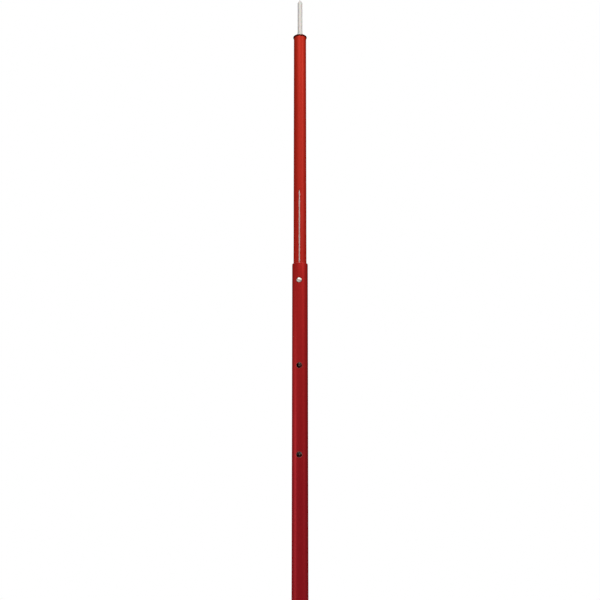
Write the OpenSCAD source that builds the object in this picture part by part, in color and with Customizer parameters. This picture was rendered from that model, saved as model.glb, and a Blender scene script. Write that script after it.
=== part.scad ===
// Telescoping driver for thin fence rods, standing on its closed end with the nose up.
// A guide tube slides in a driver tube and a snap button locks it in one of three holes.
// Origin: centre of the strike cap's flat face. +Z runs along the axis to the rod's tip.
// The setting holes, the snap button and the slot all face -Y.

/* [Driver tube] */
// Outside diameter of the driver tube, mm
driver_od = 30; // [26:0.5:36]
// Wall thickness of the driver tube, mm
driver_wall = 2; // [1.5:0.25:3]
// Height of the open mouth above the strike face, mm
mouth_z = 728; // [600:1:900]
// Diameter of each setting hole, mm
setting_hole_d = 10.8; // [8:0.1:12]
// Height of the highest setting hole, where the button sits, mm
setting_top_z = 693; // [640:1:710]
// Distance from one setting hole to the next, mm
setting_pitch = 165; // [100:1:200]
// Number of setting holes
setting_count = 3; // [2:1:4]

/* [Closed end] */
// Diameter of the strike cap, mm
cap_d = 36; // [34:0.5:44]
// Thickness of the strike cap's floor, mm
cap_floor = 8; // [5:0.5:15]
// Height of the cap's skirt around the tube, mm
cap_skirt = 16; // [10:1:30]
// Height of the striker's top, under the buffer disc, mm
striker_top_z = 61; // [60:1:80]
// Thickness of the buffer disc, mm
buffer_h = 8; // [4:0.5:12]
// Height of the rod cup, mm
cup_h = 24; // [16:1:30]
// Depth of the socket in the rod cup, mm
cup_socket = 12; // [6:1:16]
// Diameter of the roll pins that hold the striker, mm
pin_d = 5; // [4:0.5:6]
// Diameter of the countersunk screw that holds the rod cup, mm
screw_d = 4; // [3:0.5:5]
// Length of that screw, mm
screw_l = 30; // [26:1:31]

/* [Guide tube] */
// Outside diameter of the guide tube, mm
guide_od = 25; // [20:0.5:28]
// Wall thickness of the guide tube, mm
guide_wall = 1.5; // [1:0.25:2]
// Height of the guide tube's tail end, mm
tail_z = 635; // [600:1:640]
// Height of the nose ring's top, mm
nose_z = 1214; // [1100:1:1260]
// Width of the slot, mm
slot_w = 2.5; // [2:0.25:5]
// Height of the slot's upper end, mm
slot_top_z = 877; // [850:1:950]
// Height of the slot's lower end, mm
slot_bottom_z = 718; // [716:1:800]
// Outside diameter of the nose ring, mm
nose_ring_d = 27.6; // [26:0.2:30]
// Thickness of the nose ring, mm
nose_ring_h = 3; // [2:0.25:5]

/* [Snap button] */
// Diameter of the button, mm
button_d = 9; // [7:0.25:11]
// How far the button stands out of the driver tube, mm
button_proud = 1.6; // [1:0.1:3]
// Radius of the button's dome, mm
button_dome_r = 8; // [6:0.5:12]
// Width of the leaf spring, mm
leaf_w = 8; // [6:0.5:9]
// Thickness of the leaf spring, mm
leaf_t = 0.55; // [0.4:0.05:0.8]

/* [Fence rod] */
// Diameter of the fence rod, mm
rod_d = 9.5; // [8:0.1:10]
// Height of the rod's tip, mm
tip_z = 1299; // [1280:1:1500]
// Length of the taper at the tip, mm
tip_taper = 6.5; // [4:0.5:25]
// Radius of the rounded point, mm
tip_r = 1.2; // [0.5:0.1:3]

/* [Hidden] */
$fn = 96;

seat = 0.05;      // play between faces that rest on each other
press_gap = 0.1;  // radial play of pieces fixed inside a tube
over = 1;         // how far a cutter runs past a face
chamfer = 0.8;    // tube ends

driver_r = driver_od / 2;
driver_bore_r = driver_r - driver_wall;
guide_r = guide_od / 2;
guide_bore_r = guide_r - guide_wall;
fitted_r = guide_bore_r - press_gap;
rod_r = rod_d / 2;

tube_foot_z = cap_floor;
cap_top_z = cap_floor + cap_skirt;
cap_bore_r = driver_r + press_gap;
weld_leg = cap_d / 2 - driver_r - seat;
striker_r = driver_bore_r - press_gap;
cup_foot_z = striker_top_z + buffer_h + 2 * seat;
cup_top_z = cup_foot_z + cup_h;
butt_z = cup_top_z - cup_socket;
cup_socket_r = rod_r + 0.6;
cup_lead = 3;
pin_z = [33, 45];
pin_wall = 1;
screw_head_r = screw_d;
screw_head_h = 2.2;
screw_hole_r = screw_d / 2 + 0.25;
screw_top_z = butt_z - seat;
screw_end_z = screw_top_z - screw_l;
key_af = 2.5;     // hexagon socket, across flats
key_depth = 1.2;

guide_top_z = nose_z - nose_ring_h;
rim_cone = 1.2;
rim_bevel = 0.7;
bush_h = 35;
bush_foot_z = nose_z - bush_h;
bush_neck_r = rod_r + 1.3;
bush_neck_h = 7;
bush_bore_r = rod_r + 0.35;
liner_foot_z = slot_bottom_z - 5;
liner_bore_r = rod_r + 0.65;
clip_t = 1.2;
clip_depth = 0.4;
clip_bore_r = 8.5;
clip_gap = 6;
tail_flange_h = 6;
tail_spigot_h = 10;
tail_bore_r = 6;
tail_flange_r = driver_bore_r - press_gap;

button_r = button_d / 2;
button_hole_r = button_r + 0.4;
button_top = driver_r + button_proud;
leaf_face = 10.05;
button_foot = leaf_face + seat;
stem_r = 1.5;
stem_head_r = 2.4;
stem_head_h = 0.6;
leaf_top_z = setting_top_z + button_r + 6;
leaf_foot_z = setting_top_z - 44;
rivet_z = [leaf_foot_z + 6, leaf_foot_z + 14];
rivet_r = 1.6;
rivet_head_r = 2.6;
rivet_head_h = 0.8;
nose_rivet_z = nose_z - 17;
nose_rivet_head_r = 3;
nose_rivet_head_h = 1;
nose_rivet_foot = 7.7;   // distance of its blind end from the axis

PAINT_RED = [0.66, 0.14, 0.12];
STEEL = [0.72, 0.72, 0.70];
DARK_STEEL = [0.32, 0.32, 0.33];
WHITE = [0.93, 0.93, 0.91];
AMBER = [0.80, 0.52, 0.16];

// Places its children at height z with their +Z pointing out of the tube towards -Y.
module outward(z) {
    translate([0, 0, z])
        rotate([90, 0, 0])
            children();
}

// The same towards +Y.
module backward(z) {
    translate([0, 0, z])
        rotate([-90, 0, 0])
            children();
}

// A ring or disc about the main axis, from z0 to z1.
module ring(outer_r, inner_r, z0, z1) {
    rotate_extrude()
        polygon([[inner_r, z0], [outer_r, z0], [outer_r, z1], [inner_r, z1]]);
}

// A tube about the main axis with its outer edges broken at the ends named.
module tube(outer_r, inner_r, z0, z1, foot_cut, top_cut) {
    rotate_extrude()
        polygon([
            [inner_r, z0],
            [outer_r - foot_cut, z0],
            [outer_r, z0 + foot_cut],
            [outer_r, z1 - top_cut],
            [outer_r - top_cut, z1],
            [inner_r, z1]
        ]);
}

module cross_hole(z, r) {
    translate([0, 0, z])
        rotate([0, 90, 0])
            cylinder(r = r, h = driver_od + 2 * over, center = true);
}

module driver_tube() {
    color(PAINT_RED)
        difference() {
            tube(driver_r, driver_bore_r, tube_foot_z, mouth_z, chamfer / 2, chamfer);
            for (i = [0 : setting_count - 1])
                outward(setting_top_z - i * setting_pitch)
                    translate([0, 0, driver_bore_r / 2])
                        cylinder(d = setting_hole_d, h = driver_r);
            for (z = pin_z)
                cross_hole(z, pin_d / 2 + seat);
        }
}

module strike_cap() {
    edge = 1.5;
    color(PAINT_RED)
        rotate_extrude()
            polygon([
                [0, 0],
                [cap_d / 2 - edge, 0],
                [cap_d / 2, edge],
                [cap_d / 2, cap_top_z],
                [cap_bore_r, cap_top_z],
                [cap_bore_r, cap_floor - seat],
                [0, cap_floor - seat]
            ]);
}

// Fillet weld between the cap's skirt and the driver tube.
module cap_weld() {
    color(PAINT_RED)
        rotate_extrude()
            polygon([
                [driver_r + seat, cap_top_z + seat],
                [driver_r + weld_leg, cap_top_z + seat],
                [driver_r + weld_leg * 0.62, cap_top_z + weld_leg * 0.62],
                [driver_r + seat, cap_top_z + weld_leg]
            ]);
}

// Steel plug that passes the blow on; its top is tapped for the cup's screw.
module striker_plug() {
    tapped_r = screw_d / 2 + seat;
    color(DARK_STEEL)
        difference() {
            tube(striker_r, 0, tube_foot_z, striker_top_z, chamfer, chamfer);
            for (z = pin_z)
                cross_hole(z, pin_d / 2 + seat);
            translate([0, 0, screw_end_z - seat])
                cylinder(r = tapped_r, h = striker_top_z - screw_end_z + over);
        }
}

module buffer_disc() {
    color(AMBER)
        ring(striker_r, screw_hole_r, striker_top_z + seat, striker_top_z + seat + buffer_h);
}

// Socket for the rod's butt, countersunk for its screw.
module rod_cup() {
    sink_r = screw_head_r + seat;
    color(STEEL)
        rotate_extrude()
            polygon([
                [screw_hole_r, cup_foot_z],
                [striker_r, cup_foot_z],
                [striker_r, cup_top_z],
                [cup_socket_r + cup_lead, cup_top_z],
                [cup_socket_r, cup_top_z - cup_lead],
                [cup_socket_r, butt_z],
                [sink_r, butt_z],
                [screw_hole_r, butt_z - screw_head_h - seat]
            ]);
}

module cup_screw() {
    color(STEEL)
        difference() {
            rotate_extrude()
                polygon([
                    [0, screw_end_z],
                    [screw_d / 2 - chamfer / 2, screw_end_z],
                    [screw_d / 2, screw_end_z + chamfer / 2],
                    [screw_d / 2, screw_top_z - screw_head_h],
                    [screw_head_r - seat, screw_top_z],
                    [0, screw_top_z]
                ]);
            translate([0, 0, screw_top_z - key_depth])
                cylinder(d = key_af / cos(30), h = key_depth + over, $fn = 6);
        }
}

// Slit spring pin across the driver tube, with broken ends.
module roll_pin(z) {
    half = driver_r - chamfer / 2;
    color(STEEL)
        translate([0, 0, z])
            rotate([0, 90, 0])
                difference() {
                    cylinder(d = pin_d, h = 2 * half, center = true);
                    cylinder(d = pin_d - 2 * pin_wall, h = 2 * half + 2 * over, center = true);
                    translate([0, pin_d / 2, 0])
                        cube([0.8, pin_d, 2 * half + 2 * over], center = true);
                }
}

module plug_pin_lower() {
    roll_pin(pin_z[0]);
}

module plug_pin_upper() {
    roll_pin(pin_z[1]);
}

// Slot with round ends through the front wall.
module slot_cutter() {
    reach = guide_r;
    for (z = [slot_bottom_z + slot_w / 2, slot_top_z - slot_w / 2])
        outward(z)
            translate([0, 0, guide_bore_r / 2])
                cylinder(d = slot_w, h = reach);
    translate([-slot_w / 2, -guide_bore_r / 2 - reach, slot_bottom_z + slot_w / 2])
        cube([slot_w, reach, slot_top_z - slot_bottom_z - slot_w]);
}

module guide_tube() {
    color(PAINT_RED)
        difference() {
            tube(guide_r, guide_bore_r, tail_z, guide_top_z, chamfer / 2, 0);
            slot_cutter();
            outward(setting_top_z)
                translate([0, 0, guide_bore_r / 2])
                    cylinder(r = button_hole_r, h = guide_r);
            for (z = rivet_z)
                outward(z)
                    translate([0, 0, guide_bore_r / 2])
                        cylinder(r = rivet_r + seat, h = guide_r);
            backward(nose_rivet_z)
                translate([0, 0, guide_bore_r / 2])
                    cylinder(r = rivet_r + seat, h = guide_r);
            ring(guide_bore_r + clip_depth, guide_bore_r - over,
                 liner_foot_z - seat - clip_t - seat, liner_foot_z - seat);
        }
}

// Flared rim on the guide tube's upper end; its underside is a cone.
module nose_ring() {
    bore_r = guide_bore_r + 0.4;
    outer_r = nose_ring_d / 2;
    foot_z = guide_top_z + seat;
    top_z = nose_z + seat;
    color(PAINT_RED)
        rotate_extrude()
            polygon([
                [bore_r, foot_z],
                [guide_r + seat, foot_z],
                [outer_r, foot_z + rim_cone],
                [outer_r, top_z - rim_bevel],
                [outer_r - rim_bevel, top_z],
                [bore_r, top_z]
            ]);
}

module nose_bush() {
    lead = 0.8;
    color(WHITE)
        difference() {
            rotate_extrude()
                polygon([
                    [bush_bore_r, bush_foot_z],
                    [fitted_r, bush_foot_z],
                    [fitted_r, nose_z],
                    [bush_neck_r + lead, nose_z],
                    [bush_neck_r, nose_z + lead],
                    [bush_neck_r, nose_z + bush_neck_h - lead],
                    [bush_neck_r - lead / 2, nose_z + bush_neck_h],
                    [bush_bore_r, nose_z + bush_neck_h]
                ]);
            backward(nose_rivet_z)
                translate([0, 0, nose_rivet_foot - seat])
                    cylinder(r = rivet_r + seat, h = guide_r);
        }
}

// Rivet at the back of the nose that keeps the bush in the tube.
module nose_rivet() {
    head_foot = guide_r + seat;
    color(STEEL)
        backward(nose_rivet_z)
            rotate_extrude()
                polygon([
                    [0, nose_rivet_foot],
                    [rivet_r, nose_rivet_foot],
                    [rivet_r, head_foot],
                    [nose_rivet_head_r, head_foot],
                    [nose_rivet_head_r, head_foot + nose_rivet_head_h / 2],
                    [nose_rivet_head_r - nose_rivet_head_h / 2, head_foot + nose_rivet_head_h],
                    [0, head_foot + nose_rivet_head_h]
                ]);
}

// Plastic core that keeps the rod straight; it shows through the slot.
module guide_liner() {
    color(WHITE)
        ring(fitted_r, liner_bore_r, liner_foot_z, bush_foot_z - seat);
}

module liner_clip() {
    color(STEEL)
        difference() {
            ring(guide_bore_r + clip_depth - seat, clip_bore_r,
                 liner_foot_z - seat - clip_t, liner_foot_z - seat - seat);
            translate([-clip_gap / 2, 0, liner_foot_z - 2 * clip_t])
                cube([clip_gap, guide_r, 3 * clip_t]);
        }
}

module tail_bush() {
    color(WHITE)
        rotate_extrude()
            polygon([
                [tail_bore_r, tail_z - seat - tail_flange_h],
                [tail_flange_r - chamfer, tail_z - seat - tail_flange_h],
                [tail_flange_r, tail_z - seat - tail_flange_h + chamfer],
                [tail_flange_r, tail_z - seat],
                [fitted_r, tail_z - seat],
                [fitted_r, tail_z + tail_spigot_h],
                [tail_bore_r, tail_z + tail_spigot_h]
            ]);
}

// Leaf along the front inner wall, riveted at its foot, carrying the button near its top.
module snap_spring() {
    color(STEEL)
        difference() {
            translate([-leaf_w / 2, -leaf_face, leaf_foot_z])
                cube([leaf_w, leaf_t, leaf_top_z - leaf_foot_z]);
            outward(setting_top_z)
                translate([0, 0, leaf_face - 2 * leaf_t])
                    cylinder(r = stem_r + 2 * seat, h = 3 * leaf_t);
            for (z = rivet_z)
                outward(z)
                    translate([0, 0, leaf_face - 2 * leaf_t])
                        cylinder(r = rivet_r + seat, h = 3 * leaf_t);
        }
}

// Rivet through the leaf's foot and the guide tube's wall.
module spring_rivet(z) {
    inner_face = leaf_face - leaf_t - seat;
    color(STEEL)
        outward(z)
            union() {
                translate([0, 0, inner_face - rivet_head_h])
                    cylinder(r = rivet_head_r, h = rivet_head_h);
                translate([0, 0, inner_face - rivet_head_h / 2])
                    cylinder(r = rivet_r, h = guide_r - 2 * seat - inner_face + rivet_head_h / 2);
            }
}

module spring_rivet_lower() {
    spring_rivet(rivet_z[0]);
}

module spring_rivet_upper() {
    spring_rivet(rivet_z[1]);
}

// Domed button with a stem peened through the leaf.
module snap_button() {
    stem_foot = leaf_face - leaf_t - seat;
    color(STEEL)
        outward(setting_top_z)
            union() {
                intersection() {
                    translate([0, 0, button_foot])
                        cylinder(r = button_r, h = button_top - button_foot);
                    translate([0, 0, button_top - button_dome_r])
                        sphere(r = button_dome_r);
                }
                translate([0, 0, stem_foot - stem_head_h / 2])
                    cylinder(r = stem_r, h = button_foot - stem_foot + stem_head_h);
                translate([0, 0, stem_foot - stem_head_h])
                    cylinder(r = stem_head_r, h = stem_head_h);
            }
}

// Fibreglass rod with a tapered, rounded point; its butt stands in the rod cup.
module rod_post() {
    taper_z = tip_z - tip_taper;
    taper_h = tip_taper - tip_r;
    foot_cut = 0.4;
    color(WHITE)
        union() {
            tube(rod_r, 0, butt_z + seat, taper_z, foot_cut, 0);
            translate([0, 0, taper_z])
                cylinder(r1 = rod_r, r2 = tip_r, h = taper_h);
            translate([0, 0, taper_z + taper_h])
                sphere(r = tip_r);
        }
}

driver_tube();
strike_cap();
cap_weld();
striker_plug();
buffer_disc();
rod_cup();
cup_screw();
plug_pin_lower();
plug_pin_upper();
guide_tube();
nose_ring();
nose_bush();
nose_rivet();
guide_liner();
liner_clip();
tail_bush();
snap_spring();
spring_rivet_lower();
spring_rivet_upper();
snap_button();
rod_post();
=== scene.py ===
import math

import bmesh
import bpy
from mathutils import Matrix, Vector


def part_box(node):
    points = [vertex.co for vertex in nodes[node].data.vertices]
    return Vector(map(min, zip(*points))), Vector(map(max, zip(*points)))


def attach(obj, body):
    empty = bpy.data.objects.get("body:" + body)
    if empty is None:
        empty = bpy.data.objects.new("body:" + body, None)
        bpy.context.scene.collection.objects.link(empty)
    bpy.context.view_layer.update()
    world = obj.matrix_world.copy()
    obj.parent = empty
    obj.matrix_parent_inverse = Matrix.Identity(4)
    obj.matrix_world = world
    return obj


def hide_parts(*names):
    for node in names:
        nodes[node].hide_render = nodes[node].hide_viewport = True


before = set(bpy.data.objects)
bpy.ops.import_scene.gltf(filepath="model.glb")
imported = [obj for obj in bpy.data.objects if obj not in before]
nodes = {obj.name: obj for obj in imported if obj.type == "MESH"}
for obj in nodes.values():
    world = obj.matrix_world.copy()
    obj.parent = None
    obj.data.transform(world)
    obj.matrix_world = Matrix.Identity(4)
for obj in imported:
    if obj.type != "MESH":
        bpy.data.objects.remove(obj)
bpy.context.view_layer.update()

MM = 0.001

# ---------------------------------------------------------------- sizes, mm
# The radii and heights repeat the CAD's, so that each skin covers its CAD piece.
DRIVER_R = 15.0
DRIVER_BORE = 13.0
GUIDE_R = 12.5
GUIDE_BORE = 11.0
ROD_R = 4.75
SETTINGS_Z = (693.0, 528.0, 363.0)
SETTING_HOLE_R = 5.4
BUTTON_R = 4.5
BUTTON_HOLE_R = 4.9
SLOT_W = 2.5
SLOT_Z = (718.0, 877.0)
MOUTH_Z = 728.0
PIN_Z = (33.0, 45.0)
PIN_HOLE_R = 2.55
RIVET_HOLE_R = 1.65
NOSE_RIVET_Z = 1197.0
SPRING_RIVETS_Z = (655.0, 663.0)
BROKEN_EDGE = 0.4
NOSE_BUSH_R = 10.9
NOSE_BUSH_SHOULDER_Z = 1214.0

# Cutters run from inside a bore to outside its wall: distances from the axis.
THROUGH_DRIVER = (6, 20)
THROUGH_GUIDE = (5, 18)

# Facets round each kind of lathed piece; the bead has eight for each of its 46 ripples.
ROUND_STEPS = 160
THIN_STEPS = 96
BEAD_RIPPLES = 46
BEAD_STEPS = 8 * BEAD_RIPPLES

# Points and edges closer than this are merged after a cut, in metres.
SLIVER = 2e-6


# ---------------------------------------------------------------- mesh helpers
def height(node):
    """Lowest and highest z of a CAD node, in mm."""
    low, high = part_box(node)
    return low.z / MM, high.z / MM


def new_object(name, bm, sharp=32):
    """Links a smooth-shaded object made from bm, with edges over sharp degrees kept crisp."""
    bmesh.ops.recalc_face_normals(bm, faces=bm.faces)
    mesh = bpy.data.meshes.new(name)
    bm.to_mesh(mesh)
    bm.free()
    for p in mesh.polygons:
        p.use_smooth = True
    mesh.set_sharp_from_angle(angle=math.radians(sharp))
    obj = bpy.data.objects.new(name, mesh)
    bpy.context.scene.collection.objects.link(obj)
    return obj


def lathe(name, profile, steps=ROUND_STEPS, sharp=32, ripple=None):
    """Turns a closed (radius, z) profile in mm about Z; radius 0 makes a pole point."""
    bm = bmesh.new()
    rings = []
    for r, z in profile:
        if r < 1e-6:
            rings.append([bm.verts.new((0, 0, z * MM))])
            continue
        ring = []
        for i in range(steps):
            a = 2 * math.pi * i / steps
            rr, zz = ripple(r, z, a) if ripple else (r, z)
            ring.append(bm.verts.new((rr * MM * math.cos(a), rr * MM * math.sin(a), zz * MM)))
        rings.append(ring)
    open_ended = len(rings[0]) == 1 and len(rings[-1]) == 1
    pairs = list(zip(rings, rings[1:]))
    if not open_ended:
        pairs.append((rings[-1], rings[0]))
    for a, b in pairs:
        for i in range(steps):
            j = (i + 1) % steps
            if len(a) == 1:
                bm.faces.new((a[0], b[i], b[j]))
            elif len(b) == 1:
                bm.faces.new((a[i], a[j], b[0]))
            else:
                bm.faces.new((a[i], a[j], b[j], b[i]))
    return new_object(name, bm, sharp)


def arc(cx, cz, r, start, end, count):
    """Points of an arc in the (radius, z) plane, angles in degrees from +radius."""
    out = []
    for i in range(count + 1):
        t = math.radians(start + (end - start) * i / count)
        out.append((cx + r * math.cos(t), cz + r * math.sin(t)))
    return out


def stations(low, high, step, near=(), fine=1.5, reach=9):
    """Heights from low to high, closer together around the places named."""
    zs = [low]
    while zs[-1] < high:
        close = any(abs(zs[-1] - c) < reach for c in near)
        zs.append(zs[-1] + (fine if close else step))
    zs[-1] = high
    return zs


def cylinder_cutter(r, depth, matrix, steps):
    bm = bmesh.new()
    bmesh.ops.create_cone(
        bm, cap_ends=True, segments=steps, radius1=r * MM, radius2=r * MM,
        depth=depth, matrix=matrix)
    return new_object("cutter", bm)


def radial_cutter(z, r, inner, outer, side=-1):
    """Cylinder along Y at height z, on one side of the axis; side -1 is the front."""
    at = Matrix.Translation((0, side * (inner + outer) / 2 * MM, z * MM))
    return cylinder_cutter(
        r, (outer - inner) * MM, at @ Matrix.Rotation(math.radians(90), 4, "X"), 72)


def cross_cutter(z, r, half):
    """Cylinder along X at height z, through both walls."""
    at = Matrix.Translation((0, 0, z * MM))
    return cylinder_cutter(
        r, 2 * half * MM, at @ Matrix.Rotation(math.radians(90), 4, "Y"), 48)


def slot_cutter(z0, z1, width, inner, outer, steps=24):
    """Round-ended slot between heights z0 and z1, cut through the front wall."""
    bm = bmesh.new()
    half = width / 2
    outline = []
    for i in range(steps + 1):
        t = math.pi * i / steps
        outline.append((half * math.cos(t), z1 - half + half * math.sin(t)))
    for i in range(steps + 1):
        t = math.pi + math.pi * i / steps
        outline.append((half * math.cos(t), z0 + half + half * math.sin(t)))
    near = [bm.verts.new((x * MM, -inner * MM, z * MM)) for x, z in outline]
    far = [bm.verts.new((x * MM, -outer * MM, z * MM)) for x, z in outline]
    bm.faces.new(near)
    bm.faces.new(list(reversed(far)))
    n = len(outline)
    for i in range(n):
        j = (i + 1) % n
        bm.faces.new((near[i], far[i], far[j], near[j]))
    return new_object("cutter", bm)


def cut(obj, cutters, sharp=32):
    """Takes the cutters away from obj and keeps the result as its mesh."""
    for c in cutters:
        m = obj.modifiers.new("cut", "BOOLEAN")
        m.operation = "DIFFERENCE"
        m.solver = "EXACT"
        m.object = c
    dg = bpy.context.evaluated_depsgraph_get()
    mesh = bpy.data.meshes.new_from_object(obj.evaluated_get(dg))
    obj.modifiers.clear()
    old = obj.data
    obj.data = mesh
    bpy.data.meshes.remove(old)
    for c in cutters:
        used = c.data
        bpy.data.objects.remove(c)
        bpy.data.meshes.remove(used)
    bm = bmesh.new()
    bm.from_mesh(mesh)
    bmesh.ops.remove_doubles(bm, verts=bm.verts, dist=SLIVER)
    bmesh.ops.dissolve_degenerate(bm, dist=SLIVER, edges=bm.edges)
    bm.to_mesh(mesh)
    bm.free()
    mesh.set_sharp_from_angle(angle=math.radians(sharp))
    return obj


def place(obj, body, slot, material, *replaced):
    """Gives obj its material and body and hides the CAD pieces it stands for; slot is not used."""
    obj.data.materials.clear()
    obj.data.materials.append(material)
    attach(obj, body)
    if replaced:
        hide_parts(*replaced)
    return obj


# ---------------------------------------------------------------- material helpers
class Shader:
    """A node material with the few helpers that this object needs."""

    def __init__(self, name):
        self.mat = bpy.data.materials.new(name)
        self.mat.use_nodes = True
        self.tree = self.mat.node_tree
        self.bsdf = self.tree.nodes["Principled BSDF"]
        self.coords = self.node("ShaderNodeTexCoord").outputs["Object"]

    def node(self, kind, **settings):
        n = self.tree.nodes.new(kind)
        for k, v in settings.items():
            setattr(n, k, v)
        return n

    def link(self, a, b):
        self.tree.links.new(a, b)

    def feed(self, value, socket):
        if isinstance(value, bpy.types.NodeSocket):
            self.link(value, socket)
        else:
            socket.default_value = value

    def math(self, operation, a, b=0.0, clamp=False):
        n = self.node("ShaderNodeMath", operation=operation, use_clamp=clamp)
        self.feed(a, n.inputs[0])
        self.feed(b, n.inputs[1])
        return n.outputs[0]

    def stretched(self, x, y, z):
        n = self.node("ShaderNodeMapping")
        n.inputs["Scale"].default_value = (x, y, z)
        self.link(self.coords, n.inputs["Vector"])
        return n.outputs["Vector"]

    def noise(self, scale, detail=3.0, rough=0.5, vector=None):
        n = self.node("ShaderNodeTexNoise")
        n.inputs["Scale"].default_value = scale
        n.inputs["Detail"].default_value = detail
        n.inputs["Roughness"].default_value = rough
        self.link(vector if vector is not None else self.coords, n.inputs["Vector"])
        return n.outputs["Fac"]

    def span(self, value, from_low, from_high, to_low=0.0, to_high=1.0):
        n = self.node("ShaderNodeMapRange")
        n.clamp = True
        self.feed(value, n.inputs["Value"])
        n.inputs["From Min"].default_value = from_low
        n.inputs["From Max"].default_value = from_high
        n.inputs["To Min"].default_value = to_low
        n.inputs["To Max"].default_value = to_high
        return n.outputs["Result"]

    def mix(self, factor, a, b):
        n = self.node("ShaderNodeMix", data_type="RGBA")
        self.feed(factor, n.inputs["Factor"])
        self.feed(a if isinstance(a, bpy.types.NodeSocket) else (*a, 1), n.inputs["A"])
        self.feed(b if isinstance(b, bpy.types.NodeSocket) else (*b, 1), n.inputs["B"])
        return n.outputs["Result"]

    def bump(self, heights, strength, distance):
        n = self.node("ShaderNodeBump")
        n.inputs["Strength"].default_value = strength
        n.inputs["Distance"].default_value = distance
        self.link(heights, n.inputs["Height"])
        self.link(n.outputs["Normal"], self.bsdf.inputs["Normal"])

    def split(self):
        n = self.node("ShaderNodeSeparateXYZ")
        self.link(self.coords, n.inputs[0])
        return n.outputs

    def set(self, **values):
        for k, v in values.items():
            self.feed(v, self.bsdf.inputs[k.replace("_", " ")])


def linear(r, g, b):
    """Screen colour 0-255 to linear light."""
    out = []
    for c in (r, g, b):
        c /= 255
        out.append(c / 12.92 if c <= 0.04045 else ((c + 0.055) / 1.055) ** 2.4)
    return tuple(out)


def near_axis(s, x, z, height_z, radius, width):
    """1 within radius of a front hole's axis at height_z, fading over width; mm."""
    dz = s.math("SUBTRACT", z, height_z * MM)
    square = s.math("ADD", s.math("MULTIPLY", x, x), s.math("MULTIPLY", dz, dz))
    return s.span(s.math("SQRT", square), radius * MM, (radius + width) * MM, 1.0, 0.0)


def red_paint(name, shaded_low_tint, lit_high_tint, z_low, z_high, worn_holes=(), worn_ends=(), flake=0.32):
    """Powder coat: fine orange peel, bare metal at edges, and painted shade: the colour runs
    lighter with height from the low tint to the high tint.

    worn_holes lists (height, radius, width) of front holes whose edge is rubbed on the
    driver tube's skin, worn_ends lists (height, width), and flake is the metallic share.
    """
    s = Shader(name)
    x, y, z = s.split()
    # Painted shade: the colour grows lighter with height between z_low and z_high, standing in for
    # light falling off down the tube.
    painted_height_shade = s.span(z, z_low * MM, z_high * MM)
    colour = s.mix(painted_height_shade, shaded_low_tint, lit_high_tint)
    mottle = s.noise(9.0, 4.0, 0.6, s.stretched(1, 1, 0.25))
    dull_tint = tuple(c * 0.62 for c in shaded_low_tint)
    colour = s.mix(s.span(mottle, 0.35, 0.7, 0.0, 0.16), colour, dull_tint)
    dust = s.noise(260.0, 2.0, 0.5)
    colour = s.mix(s.span(dust, 0.66, 0.8, 0.0, 0.10), colour, linear(214, 120, 104))
    ragged = s.span(s.noise(900.0, 3.0, 0.6), 0.36, 0.6)
    bare = 0.0
    for hole_z, radius, width in worn_holes:
        square = s.math("ADD", s.math("MULTIPLY", x, x), s.math("MULTIPLY", y, y))
        around = s.math("SQRT", square)
        skin = s.math("GREATER_THAN", around, (DRIVER_R - 0.2) * MM)
        front = s.math("MULTIPLY", s.math("LESS_THAN", y, 0.0), skin)
        here = s.math("MULTIPLY", near_axis(s, x, z, hole_z, radius, width), front)
        bare = s.math("MAXIMUM", bare, here)
    for end_z, width in worn_ends:
        gap = s.math("ABSOLUTE", s.math("SUBTRACT", z, end_z * MM))
        bare = s.math("MAXIMUM", bare, s.span(gap, 0.0, width * MM, 0.8, 0.0))
    bare = s.math("MULTIPLY", bare, ragged, clamp=True)
    colour = s.mix(s.math("MULTIPLY", bare, 0.75), colour, linear(196, 150, 142))
    rub = s.noise(60.0, 4.0, 0.6, s.stretched(1, 1, 0.06))
    s.set(Base_Color=colour, Roughness=s.span(rub, 0.3, 0.75, 0.42, 0.56))
    s.set(Specular_IOR_Level=0.13, Metallic=flake, IOR=1.48)
    peel = s.noise(1500.0, 2.0, 0.5)
    wave = s.noise(380.0, 2.0, 0.5)
    s.bump(s.math("ADD", s.math("MULTIPLY", peel, 0.35), wave), 0.16, 0.00012)
    return s.mat


def plastic(name, tint, shade, roughness, lines=0.0):
    """Turned or moulded white plastic with faint rings and handling marks."""
    s = Shader(name)
    cloud = s.noise(24.0, 3.0, 0.5)
    colour = s.mix(s.span(cloud, 0.3, 0.75), tint, shade)
    specks = s.noise(700.0, 2.0, 0.5)
    colour = s.mix(s.span(specks, 0.68, 0.8, 0.0, 0.25), colour, tuple(c * 0.75 for c in shade))
    handled = s.noise(90.0)
    s.set(Base_Color=colour, Roughness=s.span(handled, 0.3, 0.7, roughness, roughness + 0.12))
    s.set(Specular_IOR_Level=0.45, IOR=1.5, Subsurface_Weight=0.06, Subsurface_Scale=0.002)
    rings = s.noise(70.0, 2.0, 0.5, s.stretched(1, 1, 14))
    grain = s.noise(1200.0, 2.0, 0.5)
    relief = s.math("ADD", s.math("MULTIPLY", rings, lines), s.math("MULTIPLY", grain, 0.4))
    s.bump(relief, 0.2, 0.0001)
    return s.mat


def fibreglass(name):
    """White rod: fine lengthwise fibres under resin."""
    s = Shader(name)
    fibres = s.noise(420.0, 4.0, 0.6, s.stretched(1, 1, 0.012))
    colour = s.mix(s.span(fibres, 0.35, 0.7), linear(246, 246, 243), linear(228, 229, 226))
    scuffs = s.noise(55.0, 5.0, 0.7, s.stretched(1, 1, 0.3))
    colour = s.mix(s.span(scuffs, 0.62, 0.8, 0.0, 0.35), colour, linear(200, 198, 190))
    s.set(Base_Color=colour, Roughness=s.span(scuffs, 0.3, 0.75, 0.34, 0.5))
    s.set(Specular_IOR_Level=0.5, IOR=1.52, Subsurface_Weight=0.08, Subsurface_Scale=0.0015)
    s.bump(fibres, 0.22, 0.00012)
    return s.mat


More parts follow.
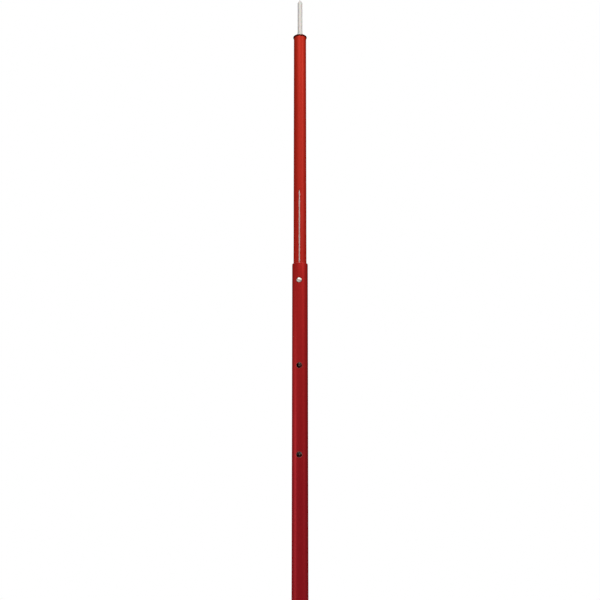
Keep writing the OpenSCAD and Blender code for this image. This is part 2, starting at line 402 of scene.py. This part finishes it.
def steel(name, tint, shade, rough_low, rough_high, scale=180.0, along=(1, 1, 0.1), metal=1.0):
    """Drawn or plated steel with streaks; metal below 1 lets the tint show as a diffuse colour."""
    s = Shader(name)
    streaks = s.noise(scale, 4.0, 0.6, s.stretched(*along))
    blotch = s.noise(scale / 5, 3.0, 0.5)
    colour = s.mix(s.span(streaks, 0.3, 0.7), tint, shade)
    colour = s.mix(s.span(blotch, 0.6, 0.8, 0.0, 0.35), colour, tuple(c * 0.55 for c in shade))
    roughness = s.span(streaks, 0.3, 0.7, rough_low, rough_high)
    s.set(Base_Color=colour, Metallic=metal, Roughness=roughness)
    s.bump(streaks, 0.15, 0.00006)
    return s.mat


def urethane(name):
    """Cast amber urethane, slightly cloudy."""
    s = Shader(name)
    cloud = s.noise(45.0, 3.0, 0.5)
    colour = s.mix(cloud, linear(196, 138, 52), linear(170, 108, 34))
    s.set(Base_Color=colour, Roughness=s.span(cloud, 0.3, 0.7, 0.45, 0.6))
    s.set(Subsurface_Weight=0.15, Subsurface_Scale=0.003)
    s.bump(s.noise(900.0), 0.2, 0.0001)
    return s.mat


# Painted shade: the driver, guide and cap paints are one red in lit and shaded copies, each lighter
# with height and the guide lightest, standing in for light falling off towards the bottom.
PAINT_DRIVER = red_paint(
    "paint_driver_height_shaded", linear(160, 24, 33), linear(190, 38, 34), 290, 733,
    worn_holes=[(z, SETTING_HOLE_R, 0.7) for z in SETTINGS_Z[1:]], worn_ends=[(MOUTH_Z, 0.9)])
PAINT_GUIDE = red_paint(
    "paint_guide_height_shaded", linear(196, 40, 29), linear(208, 46, 25), 753, 1158, flake=0.12)
PAINT_CAP = red_paint(
    "paint_cap_height_shaded", linear(150, 20, 26), linear(156, 22, 26), 0, 30, worn_ends=[(0.0, 2.6)])
# Painted shade: the nose rim's near-black red stands in for the shade on its downward-facing edge.
PAINT_RIM_SHADED = red_paint(
    "paint_rim_painted_shade", linear(86, 9, 9), linear(96, 13, 11), 1210, NOSE_BUSH_SHOULDER_Z)
WHITE_NYLON = plastic("white_nylon", linear(243, 243, 240), linear(230, 230, 226), 0.42, 0.8)
WHITE_LINER = plastic("white_liner", linear(246, 244, 240), linear(236, 234, 230), 0.5, 0.2)
ROD_WHITE = fibreglass("rod_white")
BRIGHT = steel("bright_steel", linear(226, 226, 222), linear(198, 198, 194), 0.22, 0.36)
# Painted reflection: the button's near-white tint at half metal stands in for a white surrounding
# reflected in the dome.
BUTTON = steel(
    "button_steel_painted_reflection", linear(252, 249, 242), linear(238, 235, 228), 0.36, 0.46,
    scale=900.0, along=(1, 1, 1), metal=0.45)
DARK = steel("dark_steel", linear(112, 112, 114), linear(84, 84, 86), 0.34, 0.5)
AMBER = urethane("amber_urethane")


# ---------------------------------------------------------------- driver tube and closed end
low, high = height("driver_tube")
lip = 0.9
zs = stations(low + BROKEN_EDGE, high - lip, 26, SETTINGS_Z + PIN_Z)
outer = [(DRIVER_R - BROKEN_EDGE, low)] + [(DRIVER_R, z) for z in zs]
outer += arc(DRIVER_R - lip, high - lip, lip, 0, 90, 6)[1:]
inner = [(DRIVER_BORE + 0.3, high), (DRIVER_BORE, high - BROKEN_EDGE)]
inner += [(DRIVER_BORE, z) for z in reversed(zs[:-1])] + [(DRIVER_BORE, low)]
driver = lathe("driver_tube_skin", outer + inner)
driver = cut(
    driver,
    [radial_cutter(z, SETTING_HOLE_R, *THROUGH_DRIVER) for z in SETTINGS_Z]
    + [cross_cutter(z, PIN_HOLE_R, THROUGH_DRIVER[1]) for z in PIN_Z])
place(driver, "driver", "red_paint", PAINT_DRIVER, "driver_tube")

low, high = height("strike_cap")
cap_r, edge, rim_edge, socket_r, socket_floor = 18.0, 1.5, 0.8, 15.1, 7.95
cap = lathe("strike_cap_skin", [(0, low), (cap_r - edge, low)]
            + arc(cap_r - edge, low + edge, edge, -90, 0, 6)[1:]
            + arc(cap_r - rim_edge, high - rim_edge, rim_edge, 0, 90, 5)
            + [(socket_r, high), (socket_r, socket_floor), (0, socket_floor)])
place(cap, "driver", "red_paint", PAINT_CAP, "strike_cap")


root_r, root_z = 15.05, 24.05


def weld_ripple(r, z, a):
    """Stacked-coin ripple on the bead; its two flat legs stay where they are."""
    wave = 0.86 + 0.14 * math.cos(BEAD_RIPPLES * a + 0.8 * math.sin(3 * a))
    return root_r + (r - root_r) * wave, root_z + (z - root_z) * wave


bead = [(root_r, root_z), (17.9, root_z), (17.55, 25.0), (16.9, 25.9), (16.0, 26.55),
        (root_r, 26.95)]
weld = lathe("cap_weld_bead", bead, steps=BEAD_STEPS, ripple=weld_ripple)
place(weld, "driver", "red_paint", PAINT_CAP, "cap_weld")

# ---------------------------------------------------------------- guide tube and its nose
low, high = height("guide_tube")
zs = stations(low + BROKEN_EDGE, high, 26, SPRING_RIVETS_Z + (SETTINGS_Z[0], NOSE_RIVET_Z) + SLOT_Z)
outer = [(GUIDE_R - BROKEN_EDGE, low)] + [(GUIDE_R, z) for z in zs]
inner = [(GUIDE_BORE, z) for z in reversed(zs[:-1])]
guide = lathe("guide_tube_skin", outer + [(GUIDE_BORE, high)] + inner + [(GUIDE_BORE, low)])
guide = cut(guide, [
    radial_cutter(SETTINGS_Z[0], BUTTON_HOLE_R, *THROUGH_GUIDE),
    slot_cutter(*SLOT_Z, SLOT_W, *THROUGH_GUIDE),
    radial_cutter(NOSE_RIVET_Z, RIVET_HOLE_R, *THROUGH_GUIDE, side=1),
    *[radial_cutter(z, RIVET_HOLE_R, *THROUGH_GUIDE) for z in SPRING_RIVETS_Z]])
place(guide, "guide", "red_paint", PAINT_GUIDE, "guide_tube")

low, high = height("nose_ring")
rim_r, rim_bore, cone_h, corner, crown = 13.8, 11.4, 1.2, 0.3, 0.7
cone = [(rim_bore, low), (GUIDE_R + 0.05, low), (rim_r - 0.08, low + cone_h - 0.1)]
rim = lathe("nose_ring_rim", cone
            + arc(rim_r - corner, low + cone_h + 0.2, corner, -20, 0, 3)
            + arc(rim_r - crown, high - crown, crown, 0, 90, 6)
            + [(rim_bore, high)])
place(rim, "guide", "red_paint", PAINT_RIM_SHADED, "nose_ring")

low, high = height("nose_bush")
neck, bore, fillet, round_over = 6.05, 5.1, 0.8, 0.6
shoulder = NOSE_BUSH_SHOULDER_Z
bush = lathe("nose_bush_turned", [(bore, low), (NOSE_BUSH_R, low), (NOSE_BUSH_R, shoulder)]
             + arc(neck + fillet, shoulder + fillet, fillet, 270, 180, 5)
             + arc(neck - round_over, high - round_over, round_over, 0, 90, 5)
             + [(bore, high)])
place(bush, "guide", "white_nylon", WHITE_NYLON, "nose_bush")

low, high = height("guide_liner")
liner_r, liner_bore = 10.9, 5.4
liner = lathe("guide_liner_tube", [
    (liner_bore, low), (liner_r, low), (liner_r, high), (liner_bore, high)])
place(liner, "guide", "white_nylon", WHITE_LINER, "guide_liner")

# ---------------------------------------------------------------- rod
low, high = height("rod_post")
taper, tip, ease = 6.5, 1.2, 1.4
shank_top = high - taper - 0.6
profile = [(0, low), (ROD_R - BROKEN_EDGE, low), (ROD_R, low + BROKEN_EDGE)]
profile += [(ROD_R, z) for z in stations(low + 0.5, shank_top, 40)]
profile += arc(ROD_R - ease, shank_top, ease, 0, 32, 5)[1:]
profile += arc(0, high - tip, tip, 30, 90, 6)[:-1] + [(0, high)]
rod = lathe("rod_post_fibre", profile, steps=THIN_STEPS, sharp=50)
place(rod, "rod", "rod_white", ROD_WHITE, "rod_post")

# ---------------------------------------------------------------- snap button
# Drawn upright, with distances from the tool's axis as heights, then turned to face -Y.
dome_r, dome_top, foot = 8.0, 16.6, 10.1
stem, stem_foot, head, head_h = 1.5, 9.45, 2.4, 0.6
head_low = stem_foot - head_h
edge_angle = math.degrees(math.asin((BUTTON_R - 0.25) / dome_r))
dome = arc(0, dome_top - dome_r, dome_r, 90 - edge_angle, 90, 16)
profile = [(0, head_low), (head - 0.2, head_low), (head, head_low + 0.2),
           (head, stem_foot), (stem, stem_foot), (stem, foot), (BUTTON_R, foot),
           (BUTTON_R, dome[0][1] - 0.2)] + dome[:-1] + [(0, dome_top)]
button = lathe("snap_button_dome", profile, steps=THIN_STEPS, sharp=30)
button.data.transform(
    Matrix.Translation((0, 0, SETTINGS_Z[0] * MM)) @ Matrix.Rotation(math.radians(90), 4, "X"))
place(button, "button", "bright_steel", BUTTON, "snap_button")

# ---------------------------------------------------------------- pieces kept from the CAD
kept = {
    "striker_plug": DARK, "buffer_disc": AMBER, "rod_cup": BRIGHT, "plug_pin_lower": BRIGHT,
    "plug_pin_upper": BRIGHT, "liner_clip": BRIGHT, "tail_bush": WHITE_NYLON,
    "snap_spring": BRIGHT, "spring_rivet_lower": BRIGHT, "spring_rivet_upper": BRIGHT,
    "cup_screw": BRIGHT, "nose_rivet": BRIGHT,
}
for name, material in kept.items():
    nodes[name].data.materials.clear()
    nodes[name].data.materials.append(material)

# ---------------------------------------------------------------- floor, camera and light
scene = bpy.context.scene
FLOOR_RADIUS = 1.6
bm = bmesh.new()
bmesh.ops.create_circle(bm, cap_ends=True, segments=96, radius=FLOOR_RADIUS)
floor_piece = new_object("floor", bm)
floor_shader = Shader("floor_pale")
floor_shader.set(
    Base_Color=floor_shader.mix(floor_shader.span(floor_shader.noise(3.0), 0.3, 0.7),
                                linear(236, 236, 234), linear(228, 228, 226)),
    Roughness=0.8)
floor_piece.data.materials.append(floor_shader.mat)

# The camera stands 6 degrees to the right of the front, low down, and looks up by 15 degrees.
AZIMUTH, PITCH, REACH, EYE = 6.0, 15.0, 1.8393, 0.1642
cam_data = bpy.data.cameras.new("camera")
cam_data.lens = 60.0
cam_data.sensor_width = 36.0
cam_data.clip_start, cam_data.clip_end = 0.05, 50
camera = bpy.data.objects.new("camera", cam_data)
scene.collection.objects.link(camera)
a = math.radians(AZIMUTH)
camera.location = (REACH * math.sin(a), -REACH * math.cos(a), EYE)
camera.rotation_euler = (math.radians(90 + PITCH), 0, a)
scene.camera = camera


def softbox(name, azimuth, distance, z, target_z, width, tall, power, tint, spread=180):
    """Rectangular light at an azimuth measured from the camera's side of the object."""
    data = bpy.data.lights.new(name, "AREA")
    data.shape = "RECTANGLE"
    data.size, data.size_y = width, tall
    data.energy = power
    data.color = tint
    data.spread = math.radians(spread)
    light = bpy.data.objects.new(name, data)
    scene.collection.objects.link(light)
    t = math.radians(AZIMUTH + azimuth)
    light.location = (distance * math.sin(t), -distance * math.cos(t), z)
    aim = Vector((0, 0, target_z)) - light.location
    light.rotation_euler = aim.to_track_quat("-Z", "Y").to_euler()
    return light


softbox("key_left", -28, 1.7, 3.2, 0.95, 0.5, 0.5, 33, (1.0, 0.95, 0.92))
softbox("key_front", -2, 2.2, 2.6, 1.0, 0.5, 0.5, 15.5, (1.0, 0.95, 0.92))
softbox("key_right", 48, 2.3, 2.1, 0.8, 0.7, 0.8, 24, (1.0, 0.95, 0.91))
softbox("strip_left", -70, 0.9, 0.4, 0.4, 0.2, 0.7, 0.41, (1.0, 0.97, 0.97), spread=60)
softbox("strip_right", 62, 0.95, 0.3, 0.3, 0.2, 0.5, 0.115, (1.0, 0.97, 0.97), spread=60)
# The fill lights the back and stays out of the gloss, so the outline seen from the front is clean.
fill = softbox("fill_back", 180, 2.3, 1.7, 0.6, 1.4, 1.2, 16, (1.0, 0.97, 0.96))
fill.visible_glossy = False

# White behind the object, but only a little light from all round, so the tubes keep their shade.
world = bpy.data.worlds.new("studio")
scene.world = world
world.use_nodes = True
tree = world.node_tree
tree.nodes.clear()
path = tree.nodes.new("ShaderNodeLightPath")
bright = tree.nodes.new("ShaderNodeBackground")
bright.inputs["Color"].default_value = (1, 1, 1, 1)
bright.inputs["Strength"].default_value = 1.0
dim = tree.nodes.new("ShaderNodeBackground")
dim.inputs["Color"].default_value = (0.9, 0.93, 1.0, 1)
dim.inputs["Strength"].default_value = 0.02
either = tree.nodes.new("ShaderNodeMixShader")
out = tree.nodes.new("ShaderNodeOutputWorld")
tree.links.new(path.outputs["Is Camera Ray"], either.inputs[0])
tree.links.new(dim.outputs[0], either.inputs[1])
tree.links.new(bright.outputs[0], either.inputs[2])
tree.links.new(either.outputs[0], out.inputs["Surface"])

scene.view_settings.view_transform = "Standard"
scene.view_settings.look = "None"
scene.view_settings.exposure = 0.0

bpy.context.view_layer.update()
